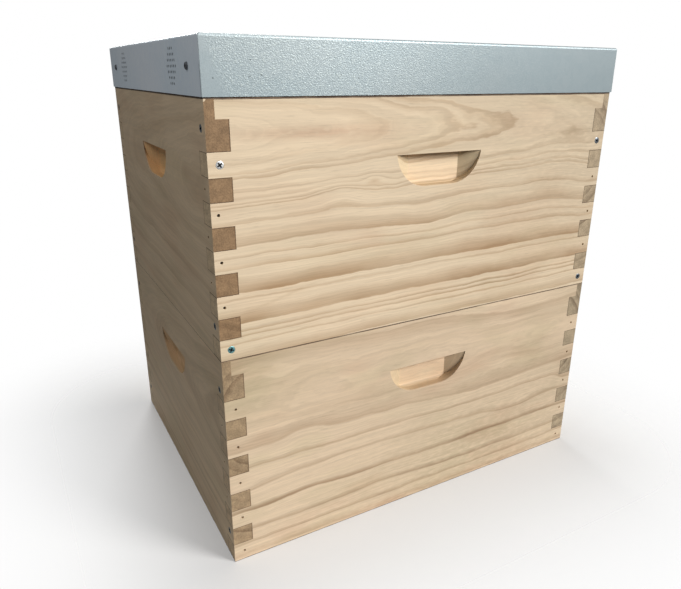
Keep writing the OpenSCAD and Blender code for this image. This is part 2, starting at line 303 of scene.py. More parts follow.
def pith_distance(s, line, pith, tilt, wave, seed):
    """The distance from the pith, which leans and wanders along the grain."""
    along, deep, high = line
    wander = s.split(s.noise(line, (7.0, 5.0, 6.0), seed, 1.5)["Color"])
    wobble = s.split(s.noise(line, (22.0, 30.0, 45.0), seed + 5, 2.0)["Color"])
    deep_off = s.total(deep, -pith[0], s.product(along, tilt),
                       s.product(s.centred(wander[0]), 2 * wave * MM),
                       s.product(s.centred(wobble[0]), WOBBLE))
    high_off = s.total(high, -pith[1],
                       s.product(s.centred(wander[1]), wave * MM),
                       s.product(s.centred(wobble[1]), WOBBLE))
    return s.math("SQRT", s.total(s.product(deep_off, deep_off),
                                  s.product(high_off, high_off)))


def aged(s, colour, line, seed, blotch, blotchy, mottled):
    """Lays broad patches over the wood: darker ones, and pink and green casts."""
    patch = s.noise(line, (8.0, 11.0, 20.0), seed + 6, 3.0)["Fac"]
    colour = s.tint(colour, blotch, s.product(s.remap(patch, 0.45, 0.75), blotchy))
    mottle = s.split(s.noise(line, (9.0, 14.0, 26.0), seed + 13, 2.0)["Color"])
    for channel, cast in ((mottle[0], PINKISH), (mottle[1], GREENISH)):
        colour = s.tint(colour, cast, s.product(s.remap(channel, 0.5, 0.68), mottled))
    return colour


def grained(s, colour, line, radius, fibre, seed):
    """Shades the wood by its fine rings, fibres, streaks and resin canals."""
    along, deep, _ = line
    fine_ring = s.noise((radius, along, deep), (900.0, 9.0, 30.0), seed + 1, 2.0)["Fac"]
    streak = s.noise(line, (7.0, 130.0, 130.0), seed + 3, 3.0)["Fac"]
    canal = s.noise(line, (55.0, 1500.0, 1500.0), seed + 4, 1.0)["Fac"]
    return s.shade(colour, s.product(s.remap(fibre, 0.25, 0.75, 0.96, 1.03),
                                     s.remap(streak, 0.25, 0.75, 0.96, 1.03),
                                     s.remap(fine_ring, 0.3, 0.7, 0.93, 1.04),
                                     s.remap(canal, 0.64, 0.74, 1.0, 0.87)))


def sawn(s, colour, line, speckle, seed):
    """Shades end grain by its open pores and saw marks."""
    dapple = s.noise(line, (90.0, 120.0, 120.0), seed + 8, 2.0)["Fac"]
    return s.shade(colour, s.product(s.remap(speckle, 0.3, 0.7, 0.82, 1.16),
                                     s.remap(dapple, 0.3, 0.7, 0.86, 1.10)))


def seam_shade(s, colour, height_now, line, shade_lines, seed):
    """Draws dark lines of painted shade, given as (height, reach), on the upright faces:
    in the seams between the boxes and under the overhangs of the lid.
    """
    upright = s.remap(s.absolute(s.normal()[Z]), 0.5, 0.9, 1, 0)
    patchy = s.remap(s.noise(line, (40.0, 40.0, 40.0), seed + 12)["Fac"], 0.2, 0.6, 0.55, 0.95)
    for height, reach in shade_lines:
        off = s.absolute(s.total(height_now, -height))
        amount = s.product(upright, s.remap(off, 0.5 * reach, reach, 1, 0), patchy)
        colour = s.mix(amount, colour, SEAM_SHADE)
    return colour


def wood(name, grain, pith, rings, seed, early, late, tilt=0.0, wave=4.0, edge=0.5,
         figures=(), smudges_and_shade=(), end_tint=(0.72, 0.68, 0.60, 1.0), end_rings=0.3,
         blotch=(0.93, 0.87, 0.82, 1.0), blotchy=0.5, mottled=0.3, box=None, shade_lines=(),
         chip=None):
    """Planed pine with its grain along one axis and its pith beside the board.

    pith holds the pith's place on the two axes across the grain, tilt how far it
    leans away per metre along it; wave is how far it wanders and edge how soft a
    ring's edge is, in millimetres.
    figures are (place along, place up, spread along, spread up, push): spots where
    the distance from the pith is changed, which bends the rings or closes them to an
    eye. Smudges are (along, up, spread along, spread up, turn, colour, strength): stains,
    and broad patches of painted shade where the light falls off across a front.
    box is (axis the board faces, its side, its box's top, tints of the handhold) for
    a finger-jointed board; the handhold's tints carry painted shade and bounce light.
    The dark lines listed along the board, each (height, reach), are painted shade.
    chip is the place of a corner where fresh wood shows. Each noise has a seed of its
    own, counted up from seed.
    """
    s = Shader(name)
    place = s.position()
    deep_axis, high_axis = (axis for axis in (X, Y, Z) if axis != grain)
    along, high = place[grain], place[high_axis]
    line = (along, place[deep_axis], high)
    ragged = s.noise(line, (90.0, 300.0, 300.0), seed + 9, 2.0)["Fac"]
    fibre = s.noise(line, (16.0, 800.0, 800.0), seed + 2, 3.0, 0.6)["Fac"]
    speckle = s.noise(line, (500.0, 650.0, 650.0), seed + 7, 3.0, 0.7)["Fac"]
    strength = s.noise(line, (9.0, 30.0, 30.0), seed + 11, 2.0)["Fac"]

    radius = pith_distance(s, line, pith, tilt, wave, seed)
    radius = s.total(radius, s.product(s.centred(ragged), 1.4 * MM))
    for at_along, at_high, spread_along, spread_high, push in figures:
        bend = s.spot((along, high), (at_along, at_high), (spread_along, spread_high))
        radius = s.total(radius, s.product(bend, push))
    late_wood = s.product(late_wood_at(s, radius, rings, edge),
                          s.remap(strength, 0.25, 0.75, 0.62, 1.15))

    colour = s.mix(late_wood, early, late)
    colour = aged(s, colour, line, seed, blotch, blotchy, mottled)
    colour = grained(s, colour, line, radius, fibre, seed)
    worn_off = s.remap(ragged, 0.3, 0.6, 0.55, 1.0)
    # Stains, and broad patches of painted shade
    for at_along, at_high, spread_along, spread_high, turn, cast, amount in smudges_and_shade:
        mark = s.spot((along, high), (at_along, at_high), (spread_along, spread_high), turn)
        colour = s.tint(colour, cast, s.product(mark, worn_off, amount))

    end_grain = s.remap(s.absolute(s.normal()[grain]), 0.75, 0.95)
    end_colour = s.tint(s.mix(s.product(late_wood, end_rings), early, END_RING), end_tint)
    colour = s.mix(end_grain, colour, sawn(s, end_colour, line, speckle, seed))
    if box is not None:
        # The handhold's tints: its tone, with painted shade and bounce light
        colour = cut_tone_and_light(s, colour, place, *box)
        colour = joint_lines(s, colour, place, end_grain, deep_axis, box[2])
    # Dark lines of painted shade in the seams and under the overhangs
    colour = seam_shade(s, colour, place[Z], line, shade_lines, seed)
    if chip is not None:
        broken = s.math("GREATER_THAN", s.spot(place, chip, (2.4 * MM,) * 3), 0.42)
        colour = s.mix(broken, colour, FRESH_CHIP)

    s.put(s.bsdf.inputs["Base Color"], colour)
    s.put(s.bsdf.inputs["Roughness"], s.remap(fibre, 0.3, 0.7, 0.52, 0.68))
    s.bsdf.inputs["Specular IOR Level"].default_value = 0.28
    planed = s.bump(s.total(s.product(fibre, 0.6), s.product(late_wood, 0.5)), 0.10 * MM, 0.5)
    rough = s.bump(speckle, 0.25 * MM, s.product(end_grain, 0.7), under=planed)
    s.put(s.bsdf.inputs["Normal"], rough)
    return s.material


def cut_tone_and_light(s, colour, place, facing_axis, side, box_top, tints):
    """Tints the machined inside of a handhold by which way each surface faces; tints are
    for its floor, edges and ends. Beside the fresh wood's tone they carry painted shade
    on the edges and, in the shaded left ends, painted warm bounce light.
    """
    face = FACE_HALF_Y if facing_axis == Y else FACE_HALF_X
    other = X if facing_axis == Y else Y
    depth = s.minus(face, s.product(place[facing_axis], side))
    inside = s.product(s.remap(depth, 0.5 * MM, 2.0 * MM), s.remap(depth, 15 * MM, 16 * MM, 1, 0))
    wide = s.remap(s.absolute(place[other]), HAND_HALF_W, HAND_HALF_W + MM, 1, 0)
    drop = s.minus(box_top, place[Z])
    tall = s.product(s.remap(drop, HAND_DROP - 2 * MM, HAND_DROP - MM),
                     s.remap(drop, HAND_DROP + HAND_H, HAND_DROP + HAND_H + MM, 1, 0))
    normal = s.normal()
    edge = s.remap(s.absolute(normal[facing_axis]), 0.84, 0.97, 1, 0)
    end = s.remap(s.absolute(normal[other]), 0.15, 0.45)
    floor, edges, ends = tints
    cut = s.mix(end, s.mix(edge, floor, edges), ends)
    return s.mix(s.product(inside, wide, tall), colour, s.tint(colour, cut))


def joint_lines(s, colour, place, end_grain, across, box_top):
    """Draws the fine dark gaps round the finger ends of a corner joint."""
    half = FACE_HALF_X if across == X else FACE_HALF_Y
    inward = s.minus(half, s.absolute(place[across]))
    upright = s.remap(inward, BOARD_T - 1.1 * MM, BOARD_T - 0.4 * MM)
    fingers_down = s.product(s.minus(box_top, place[Z]), 1 / FINGER_H)
    off = s.absolute(s.centred(s.math("FRACT", s.total(fingers_down, 0.5))))
    level = s.product(s.remap(off, 0.022, 0.045, 1, 0),
                      s.math("GREATER_THAN", fingers_down, 1.5))
    gap = s.product(s.math("MAXIMUM", upright, level), end_grain, 0.75)
    return s.mix(gap, colour, JOINT_GAP)


CREAM = linear(232, 211, 181)
TAN = linear(181, 150, 115)
GREY_CREAM = linear(225, 202, 173)
GREY_TAN = linear(170, 142, 113)
# The left ends stand in shade: their cream and tan are a shaded copy, with weaker rings
SHADE_CREAM = linear(227, 203, 170)
SHADE_TAN = linear(205, 180, 147)
FRAME_CREAM = linear(232, 214, 180)
FRAME_TAN = linear(204, 174, 128)
PINKISH = (0.88, 0.78, 0.75, 1.0)
GREENISH = (0.86, 0.90, 0.84, 1.0)
DARKER = (0.72, 0.68, 0.62, 1.0)
FRESH_CHIP = linear(228, 208, 178)
END_RING = (0.22, 0.13, 0.075, 1.0)
# The colour of the painted shade in the seams and under the overhangs
SEAM_SHADE = (0.075, 0.042, 0.026, 1.0)
JOINT_GAP = (0.085, 0.050, 0.030, 1.0)
# Tints of a handhold's floor, edges and ends; the edges carry painted shade
FRONT_CUT_AND_SHADE = ((1.14, 1.11, 1.08, 1.0), (0.84, 0.79, 0.71, 1.0), (0.92, 0.91, 0.85, 1.0))
# In the shaded left ends the tints are painted warm bounce light
LEFT_CUTS_AND_BOUNCE = {
    "upper": ((1.12, 0.95, 0.68, 1.0), (1.04, 0.84, 0.60, 1.0), (1.04, 0.84, 0.60, 1.0)),
    "lower": ((1.02, 0.94, 0.84, 1.0), (0.95, 0.86, 0.75, 1.0), (0.92, 0.82, 0.72, 1.0)),
}
# Painted shade where the light falls off, towards the right and the bottom of the fronts
FALLOFF_SHADE = (0.87, 0.87, 0.86, 1.0)
PLAIN_END = (0.90, 0.86, 0.78, 1.0)

# The two front panels, with places in mm from the left edge and down from the top
FRONTS = {
    "upper": {
        "seed": 3, "early": CREAM, "late": TAN, "edge": 0.5, "mottled": 0.25,
        "blotch": (0.95, 0.89, 0.85, 1.0), "blotchy": 0.5, "pith": (43.8, 28), "lean": 0.06,
        "rings": [
            (40, 3, 0.20), (46.4, 2.5, 0.40), (50, 3.4, 0.60), (61, 3, 0.35), (66, 2, 0.35),
            (70.5, 2, 0.50), (73.5, 2, 0.60), (88.5, 5, 0.55), (108, 14, 0.75),
            (118.5, 3, 0.50), (128.5, 5, 0.60), (152.5, 17, 1.00), (159, 2.5, 0.50),
            (182.5, 16, 0.95), (191, 3, 0.75), (196, 3, 0.80), (203, 2.5, 0.65),
            (219.5, 11, 0.65),
        ],
        "figures": [
            (130, 92, 24, 16, 6), (240, 125, 45, 22, -6), (100, 118, 60, 18, 3),
            (500, 115, 45, 60, -9), (450, 42, 26, 7, 3), (172, 79, 12, 4.5, 5),
        ],
        # Stains, and a broad patch of painted shade towards the right
        "smudges_and_shade": [
            (108, 31, 75, 6, 0, PINKISH, 0.9), (438, 44, 22, 4, 4, DARKER, 0.5),
            (452, 38, 10, 4, -20, DARKER, 0.5), (472, 44, 13, 4, 0, DARKER, 0.4),
            (72, 187, 36, 1.8, 14, DARKER, 0.4), (470, 60, 190, 170, 0, FALLOFF_SHADE, 1.0),
        ],
    },
    "lower": {
        "seed": 13, "early": GREY_CREAM, "late": GREY_TAN, "edge": 1.4, "mottled": 0.4,
        "blotch": (0.88, 0.90, 0.87, 1.0), "blotchy": 0.8, "pith": (60, 57), "lean": 0.0,
        "rings": [
            (66, 8, 0.20), (78.7, 11, 0.55), (94.5, 4, 0.60), (112.4, 5, 0.60),
            (139.6, 6, 1.00), (163.4, 5, 0.70), (179.3, 4, 0.65), (193.5, 7, 0.45),
        ],
        "figures": [
            (90, 103, 30, 14, 5), (350, 115, 80, 20, -6), (500, 140, 25, 12, -8),
            (10, 155, 30, 10, -7), (150, 149, 70, 10, 3), (400, 158, 50, 12, -9),
            (100, 181, 30, 8, 3), (200, 206, 50, 10, 3), (350, 210, 90, 8, -2),
            (400, 12, 90, 18, 8), (60, 3, 90, 20, -6),
        ],
        # Stains, and broad patches of painted shade towards the right and the bottom
        "smudges_and_shade": [
            (20, 30, 50, 45, 0, GREENISH, 0.8), (130, 85, 70, 9, 0, DARKER, 0.22),
            (250, 242, 300, 5, 0, PINKISH, 0.6), (330, 200, 120, 60, 0, GREENISH, 0.5),
            (420, 180, 240, 110, 0, FALLOFF_SHADE, 1.0), (200, 245, 400, 80, 0, FALLOFF_SHADE, 0.8),
        ],
    },
}


def box_seam_shade(deck, reach=0.9 * MM):
    """Painted shade in the seam between the boxes, and under the lid."""
    return ((BOX_TOPS[deck], reach), (BOX_TOPS[deck] - 11 * FINGER_H, reach))


def on_panel(marks, top):
    """Turns panel places in mm, (right, down, ...), into places in the frame."""
    return [(-FACE_HALF_X + mark[0] * MM, top - mark[1] * MM, mark[2] * MM, mark[3] * MM)
            + tuple(mark[4:]) for mark in marks]


def in_metres(figures):
    return [figure[:4] + (figure[4] * MM,) for figure in figures]


def front_material(deck):
    top = BOX_TOPS[deck]
    look = FRONTS[deck]
    depth, drop = look["pith"]
    return wood(f"{deck}_front_pine", X, (depth * MM - FACE_HALF_Y, top - drop * MM),
                look["rings"], look["seed"], look["early"], look["late"],
                tilt=-look["lean"], edge=look["edge"],
                figures=in_metres(on_panel(look["figures"], top)),
                smudges_and_shade=on_panel(look["smudges_and_shade"], top),
                blotch=look["blotch"], blotchy=look["blotchy"], mottled=look["mottled"],
                end_tint=PLAIN_END, box=(Y, -1, top, FRONT_CUT_AND_SHADE), shade_lines=box_seam_shade(deck))


def back_material(deck):
    top = BOX_TOPS[deck]
    seed = 17 + 10 * DECKS.index(deck)
    return wood(f"{deck}_back_pine", X, (FACE_HALF_Y - 50 * MM, top - 90 * MM),
                growth_rings(seed + 40, 48, (8, 24)), seed, CREAM, TAN, tilt=0.05, wave=9.0,
                end_tint=PLAIN_END, box=(Y, 1, top, FRONT_CUT_AND_SHADE), shade_lines=box_seam_shade(deck))


# Tints of the finger ends of the left and right ends, as seen from the front
END_TINTS = {"lower": ((0.50, 0.46, 0.41, 1.0), (0.51, 0.50, 0.47, 1.0)),
             "upper": ((0.40, 0.325, 0.26, 1.0), (0.57, 0.55, 0.51, 1.0))}


def end_material(deck, side):
    """A left (side -1) or right (side +1) end, its grain along Y."""
    top = BOX_TOPS[deck]
    left = side < 0
    brown = left and deck == "upper"
    seed = 7 + 10 * DECKS.index(deck) + (0 if left else 5)
    chip = (-FACE_HALF_X, -FACE_HALF_Y, top) if brown else None
    end_tint = END_TINTS[deck][0 if left else 1]
    return wood(f"{deck}_{'left' if left else 'right'}_pine", Y,
                (side * (FACE_HALF_X - 75 * MM), top - 70 * MM),
                growth_rings(seed + 60, 62, (9, 24)), seed,
                SHADE_CREAM if left else CREAM, SHADE_TAN if left else TAN,
                tilt=0.10 * side, wave=10.0, edge=1.5,
                end_tint=end_tint, end_rings=0.3 if brown else 0.7,
                blotch=(0.90, 0.86, 0.82, 1.0),
                box=(X, side, top, LEFT_CUTS_AND_BOUNCE[deck] if left else FRONT_CUT_AND_SHADE),
                shade_lines=box_seam_shade(deck, 0.45 * MM), chip=chip)


# ---- Other materials -----------------------------------------------------------

LID_LOW, LID_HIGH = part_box("lid_cover")
# Lifts the left end skirt, which stands in shade: a painted reflection of the sky
LEFT_SKIRT_SKY_LIGHT = (2.15, 2.02, 2.08, 1.0)
# Places of the specks on the front skirt, right of the lid's corner and up from the box
LID_SPECKS = ((0.0446, 0.0314), (0.1000, 0.0415), (0.0107, 0.0165), (0.0432, 0.0179),
              (0.0543, 0.0192), (0.1330, 0.0200), (0.1520, 0.0170))


def galvanised_material():
    """Zinc-coated sheet: fine orange peel, strongest towards the left end. Its colour
    carries painted light: glints and shade on the peel, a sheen fading to the right,
    and the sky's reflection on the left end skirt.
    """
    s = Shader("galvanised_sheet")
    place = s.position()
    peel = s.noise(place, (760.0, 760.0, 900.0), 1, 2.0, 0.55)["Fac"]
    grain = s.noise(place, (1500.0, 1500.0, 1500.0), 2, 2.0)["Fac"]
    sweep = s.noise(place, (6.0, 6.0, 9.0), 3, 2.0)["Fac"]
    crystal = s.cells(place, 160.0)["Color"]
    left = s.remap(s.total(place[X], s.product(s.centred(sweep), 0.16)),
                   LID_LOW.x + 0.14, LID_LOW.x + 0.45, 1.0, 0.06)
    corner_drop = s.minus(LID_HIGH.z, place[Z])
    corner = s.total(place[X], -LID_LOW.x, s.product(corner_drop, -0.35))
    left = s.product(left, s.remap(corner, -0.002, 0.010, 0.15, 1.0))
    side = s.normal()[X]
    end_skirt = s.remap(s.absolute(side), 0.5, 0.9)
    sky_lit_left_skirt = s.remap(side, -0.5, -0.9)
    texture = s.product(left, s.remap(end_skirt, 0.0, 1.0, 1.0, 0.15, smooth=False))

    base = s.mix(s.remap(sweep, 0.3, 0.7), linear(168, 184, 190), linear(178, 190, 194))
    base = s.mix(s.product(s.split(crystal)[0], 0.10), base, linear(205, 214, 216))
    # Painted glints on the peaks of the orange peel, and painted shade in its dips
    painted_glint = s.product(s.remap(peel, 0.52, 0.70), texture)
    base = s.mix(s.product(painted_glint, 0.5), base, linear(222, 234, 228))
    dull = s.product(s.remap(peel, 0.46, 0.32), texture)
    base = s.mix(s.product(dull, 0.30), base, linear(134, 156, 156))
    base = lid_marks(s, base, place)
    # Painted sheen: the sheet darkens towards the right
    painted_sheen = s.remap(place[X], LID_LOW.x + 0.10, LID_LOW.x + 0.33, 0.93, 0.74)
    base = s.shade(base, painted_sheen)
    # Painted sky reflection on the shaded left end skirt, which is also made less metallic
    base = s.mix(sky_lit_left_skirt, base, s.tint(base, LEFT_SKIRT_SKY_LIGHT))
    s.put(s.bsdf.inputs["Base Color"], base)
    s.put(s.bsdf.inputs["Metallic"], s.remap(sky_lit_left_skirt, 0.0, 1.0, 0.35, 0.08, smooth=False))
    s.put(s.bsdf.inputs["Roughness"], s.remap(grain, 0.3, 0.7, 0.36, 0.48))
    fine = s.bump(grain, 0.05 * MM, 0.25)
    s.put(s.bsdf.inputs["Normal"], s.bump(peel, 0.28 * MM, s.product(texture, 0.7), under=fine))
    return s.material


def lid_marks(s, base, place):
    """A few small dark specks and dents on the front skirt."""
    for along, up in LID_SPECKS:
        centre = (LID_LOW.x + along, LID_LOW.y, BOX_TOPS["upper"] + up)
        speck = s.spot(place, centre, (1.1 * MM, 4 * MM, 1.0 * MM))
        base = s.mix(s.product(s.remap(speck, 0.35, 0.7), 0.55), base, linear(96, 106, 108))
    return base


# Two screws at the near corner differ: one is new and bright, one has a blue finish
ODD_SCREWS = (
    ((-FACE_HALF_X, -FACE_HALF_Y, BOX_TOPS["upper"] - 2.5 * FINGER_H), linear(250, 252, 252)),
    ((-FACE_HALF_X, -FACE_HALF_Y, BOX_TOPS["upper"] - 10.5 * FINGER_H), linear(150, 208, 212)),
)


def steel_material(name, colour, rough, metal=0.9, odd=()):
    """Steel with wear; odd gives places where a screw has a colour of its own."""
    s = Shader(name)
    place = s.position()
    wear = s.noise(place, (700.0, 700.0, 700.0), 4, 3.0)["Fac"]
    brushed = s.noise(place, (3000.0, 900.0, 900.0), 6, 2.0)["Fac"]
    dim = tuple(0.72 * c for c in colour[:3]) + (1.0,)
    worn = s.mix(s.remap(wear, 0.35, 0.7), colour, dim)
    for centre, finish in odd:
        here = s.math("GREATER_THAN", s.spot(place, centre, (20 * MM,) * 3), 0.4)
        worn = s.mix(here, worn, finish)
    s.put(s.bsdf.inputs["Base Color"], worn)
    s.bsdf.inputs["Metallic"].default_value = metal
    s.put(s.bsdf.inputs["Roughness"], s.remap(brushed, 0.3, 0.7, rough - 0.06, rough + 0.06))
    s.put(s.bsdf.inputs["Normal"], s.bump(brushed, 0.03 * MM, 0.3))
    return s.material


def hardboard_material():
    s = Shader("hardboard")
    place = s.position()
    flecks = s.noise(place, (420.0, 420.0, 420.0), 5, 4.0, 0.7)["Fac"]
    fibres = s.noise(place, (120.0, 700.0, 700.0), 8, 3.0)["Fac"]
    colour = s.mix(s.remap(flecks, 0.3, 0.7), linear(122, 88, 58), linear(158, 120, 82))
    colour = s.mix(s.product(s.remap(fibres, 0.55, 0.7), 0.4), colour, linear(188, 152, 108))
    s.put(s.bsdf.inputs["Base Color"], colour)
    s.bsdf.inputs["Roughness"].default_value = 0.62
    s.put(s.bsdf.inputs["Normal"], s.bump(flecks, 0.15 * MM, 0.4))
    return s.material


CELL_PITCH = 5.4 * MM


def foundation_material():
    """Wax-coated sheet embossed with the honeycomb pattern."""
    s = Shader("foundation")
    place = s.position()
    row = CELL_PITCH * math.sqrt(3)
    nearest = []
    for shift in (0.0, 0.5):
        local = []
        for coordinate, pitch in ((place[X], CELL_PITCH), (place[Z], row)):
            phase = s.total(s.product(coordinate, 1 / pitch), shift)
            centred = s.centred(s.math("FRACT", s.total(phase, 100.0)))
            local.append(s.absolute(s.product(centred, pitch / CELL_PITCH)))
        slanted = s.total(s.product(local[0], 0.5), s.product(local[1], math.sqrt(3) / 2))
        nearest.append(s.math("MAXIMUM", local[0], slanted))
    hexagon = s.math("MINIMUM", *nearest)
    wall = s.remap(hexagon, 0.40, 0.47)
    mottle = s.noise(place, (30.0, 30.0, 30.0), 12, 3.0)["Fac"]
    colour = s.mix(s.remap(mottle, 0.3, 0.7), linear(232, 200, 104), linear(214, 176, 84))
    colour = s.mix(s.product(wall, 0.5), colour, linear(244, 222, 146))
    s.put(s.bsdf.inputs["Base Color"], colour)
    s.bsdf.inputs["Roughness"].default_value = 0.42
    s.bsdf.inputs["Subsurface Weight"].default_value = 0.12
    s.bsdf.inputs["Subsurface Radius"].default_value = (0.003, 0.002, 0.001)
    s.put(s.bsdf.inputs["Normal"], s.bump(wall, 0.8 * MM, 0.9))
    return s.material


# ---- Eased pieces in place of sharp CAD nodes --------------------------------------

def body_of(node):
    return NODES[node].parent.name.split(":")[1]


def solids_of(data):
    """Groups a mesh's faces by solid, as lists of polygons."""
    leader = {}

    def find(key):
        while leader[key] != key:
            leader[key] = leader[leader[key]]
            key = leader[key]
        return key

    keys = [tuple(round(c * 1e5) for c in v.co) for v in data.vertices]
    for key in keys:
        leader.setdefault(key, key)
    for face in data.polygons:
        first = find(keys[face.vertices[0]])
        for other in face.vertices[1:]:
            leader[find(keys[other])] = first
    groups = {}
    for face in data.polygons:
        groups.setdefault(find(keys[face.vertices[0]]), []).append(face)
    return list(groups.values())


def box_of(data, faces):
    points = [data.vertices[i].co for face in faces for i in face.vertices]
    low = Vector([min(p[axis] for p in points) for axis in (X, Y, Z)])
    high = Vector([max(p[axis] for p in points) for axis in (X, Y, Z)])
    return low, high


def stand_in(name, node, data):
    """Shows a mesh as a piece that stands for a CAD node and moves with its body."""
    piece = bpy.data.objects.new(name, data)
    bpy.context.scene.collection.objects.link(piece)
    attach(piece, body_of(node))
    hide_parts(node)
    return piece


SAME_POINT = 0.01 * MM


def eased(node, slot, width, *materials, segments=2):
    """Stands for a CAD node with a copy of it whose edges are slightly rounded."""
    source = NODES[node].data
    data = bpy.data.meshes.new(node + "_eased")
    data.from_pydata([v.co for v in source.vertices], [],
                     [list(face.vertices) for face in source.polygons])
    for material in materials:
        data.materials.append(material)
    data.shade_smooth()
    piece = stand_in(node + "_eased", node, data)
    weld = piece.modifiers.new("weld", "WELD")
    weld.merge_threshold = SAME_POINT
    flat = piece.modifiers.new("flat", "DECIMATE")
    flat.decimate_type = "DISSOLVE"
    flat.angle_limit = math.radians(0.5)
    bevel = piece.modifiers.new("bevel", "BEVEL")
    bevel.width = width
    bevel.segments = segments
    bevel.limit_method = "ANGLE"
    bevel.angle_limit = math.radians(20)
    close = piece.modifiers.new("close", "WELD")
    close.merge_threshold = SAME_POINT
    piece.modifiers.new("normals", "WEIGHTED_NORMAL")
    triangles = piece.modifiers.new("triangles", "TRIANGULATE")
    triangles.ngon_method = "BEAUTY"
    triangles.keep_custom_normals = True
    return piece


def set_material(node, material):
    NODES[node].data.materials.clear()
    NODES[node].data.materials.append(material)


def finish_boxes():
    for deck in DECKS:
        for name, material in (("front_panel", front_material(deck)),
                               ("back_panel", back_material(deck)),
                               ("left_end", end_material(deck, -1)),
                               ("right_end", end_material(deck, 1))):
            eased(f"{deck}_{name}", "box_pine", 0.35 * MM, material)


def finish_lid_wood():
    for number, (name, grain) in enumerate((("front", X), ("back", X), ("left", Y), ("right", Y))):
        node = "lid_rim_" + name
        low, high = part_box(node)
        deep_axis = Y if grain == X else X
        pith = ((low[deep_axis] + high[deep_axis]) / 2 + 50 * MM, high.z - 20 * MM)
        # The rim darkens at its lower edge: painted shade under the cover's overhang
        eased(node, "lid_pine", 0.5 * MM,
              wood(node + "_pine", grain, pith, growth_rings(80 + number, 20, (5, 14)),
                   90 + number, GREY_CREAM, GREY_TAN, shade_lines=((low.z, 3.2 * MM),)))
    set_material("lid_board", hardboard_material())


def finish_cover():
    """Rounds the cover's folds: its top and its upright corners."""
    fold = 2.4 * MM
    corner = 0.7 * MM
    piece = eased("lid_cover", "galvanised_sheet", fold, galvanised_material(), segments=5)
    piece.modifiers["bevel"].limit_method = "WEIGHT"
    for name in ("flat", "normals"):
        piece.modifiers.remove(piece.modifiers[name])
    data = piece.data
    data.shade_flat()
    weights = data.attributes.new("bevel_weight_edge", "FLOAT", "EDGE")
    near = 0.02 * MM

    def on_side(points, axis):
        """Whether both ends of an edge lie on one and the same outer side."""
        return any(all(abs(p[axis] - side[axis]) < near for p in points)
                   for side in (LID_LOW, LID_HIGH))

    for edge in data.edges:
        ends = [data.vertices[i].co for i in edge.vertices]
        sides = [on_side(ends, axis) for axis in (X, Y)]
        if all(abs(p.z - LID_HIGH.z) < near for p in ends) and any(sides):
            weights.data[edge.index].value = 1.0
        elif all(sides):
            weights.data[edge.index].value = corner / fold


def finish_frames():
    bars = wood("frame_bar_pine", X, (0.030, 0.30), growth_rings(101, 20, (5, 12)), 21,
                FRAME_CREAM, FRAME_TAN)
    ends = wood("frame_end_pine", Z, (0.23, 0.030), growth_rings(102, 20, (5, 12)), 22,
                FRAME_CREAM, FRAME_TAN)
    sheet = foundation_material()
    for deck in DECKS:
        for number in FRAMES:
            data = eased(f"{deck}_frame_{number}_wood", "frame_pine", 0.4 * MM, bars, ends).data
            for faces in solids_of(data):
                low, high = box_of(data, faces)
                upright = high.z - low.z > high.x - low.x
                for face in faces:
                    face.material_index = 1 if upright else 0
            set_material(f"{deck}_frame_{number}_foundation", sheet)


# ---- Screws ----------------------------------------------------------------------

def ring_of(bm, radius, z, count=40):
    return [bm.verts.new((radius * math.cos(2 * math.pi * i / count),
                          radius * math.sin(2 * math.pi * i / count), z))
            for i in range(count)]


def bridge(bm, first, second):
    count = len(first)
    for i in range(count):
        bm.faces.new((first[i], first[(i + 1) % count], second[(i + 1) % count], second[i]))


def cross_outline(bm, reach, half, z):
    """A Phillips cross with its inner corners rounded, anticlockwise."""
    corners = []
    inner = half * 1.35
    for quarter in range(4):
        turn = Matrix.Rotation(quarter * math.pi / 2, 3, "Z")
        for point in ((reach, -half, z), (reach * 1.04, 0, z), (reach, half, z),
                      (inner * 1.1, half, z), (inner * 0.92, inner * 0.92, z),
                      (half, inner * 1.1, z)):
            corners.append(bm.verts.new(turn @ Vector(point)))
    return corners


def edges_round(bm, ring):
    """The edges of a closed ring of vertices, made where they are missing."""
    pairs = [(ring[i], ring[(i + 1) % len(ring)]) for i in range(len(ring))]
    return [bm.edges.get(pair) or bm.edges.new(pair) for pair in pairs]


def screw_mesh(head_r, profile_above, profile_below, recess_r, recess_depth):
    """A cross-head screw, its head's rim at z = 0 and +Z out of the head.

    profile_above lists (radius, height) of the head's dome from the rim inwards,
    profile_below lists them from the rim down the neck, the shank and the thread.
    """
    bm = bmesh.new()
    rim = ring_of(bm, head_r, 0)
    last = rim
    for radius, z in profile_above:
        inner = ring_of(bm, radius, z)
        bridge(bm, last, inner)
        last = inner
    top_z = profile_above[-1][1]
    mouth = cross_outline(bm, recess_r, recess_r * 0.26, top_z)
    floor = cross_outline(bm, recess_r * 0.52, recess_r * 0.15, top_z - recess_depth)
    rims = edges_round(bm, last) + edges_round(bm, mouth)
    bmesh.ops.triangle_fill(bm, edges=rims, use_beauty=True)
    head_faces = len(bm.faces)
    bridge(bm, mouth, floor)
    bm.faces.new(floor)
    bm.faces.ensure_lookup_table()
    # The recess takes the second material, its painted shade
    for face in bm.faces[head_faces:]:
        face.material_index = 1
    last = rim
    for radius, z in profile_below:
        lower = ring_of(bm, radius, z)
        bridge(bm, lower, last)
        last = lower
    bm.faces.new(list(reversed(last)))
    bmesh.ops.recalc_face_normals(bm, faces=bm.faces)
    data = bpy.data.meshes.new("screw")
    bm.to_mesh(data)
    bm.free()
    return data


def threaded_shank(neck, length, core, crest, pitch):
    """Profile points of a shank: neck, then a thread of rings, then a point."""
    points = list(neck)
    z = neck[-1][1] - pitch
    while z > -length + 2 * pitch:
        points += [(core, z), (crest, z - 0.35 * pitch), (core, z - 0.7 * pitch)]
        z -= pitch
    points.append((core * 0.25, -length))
    return points


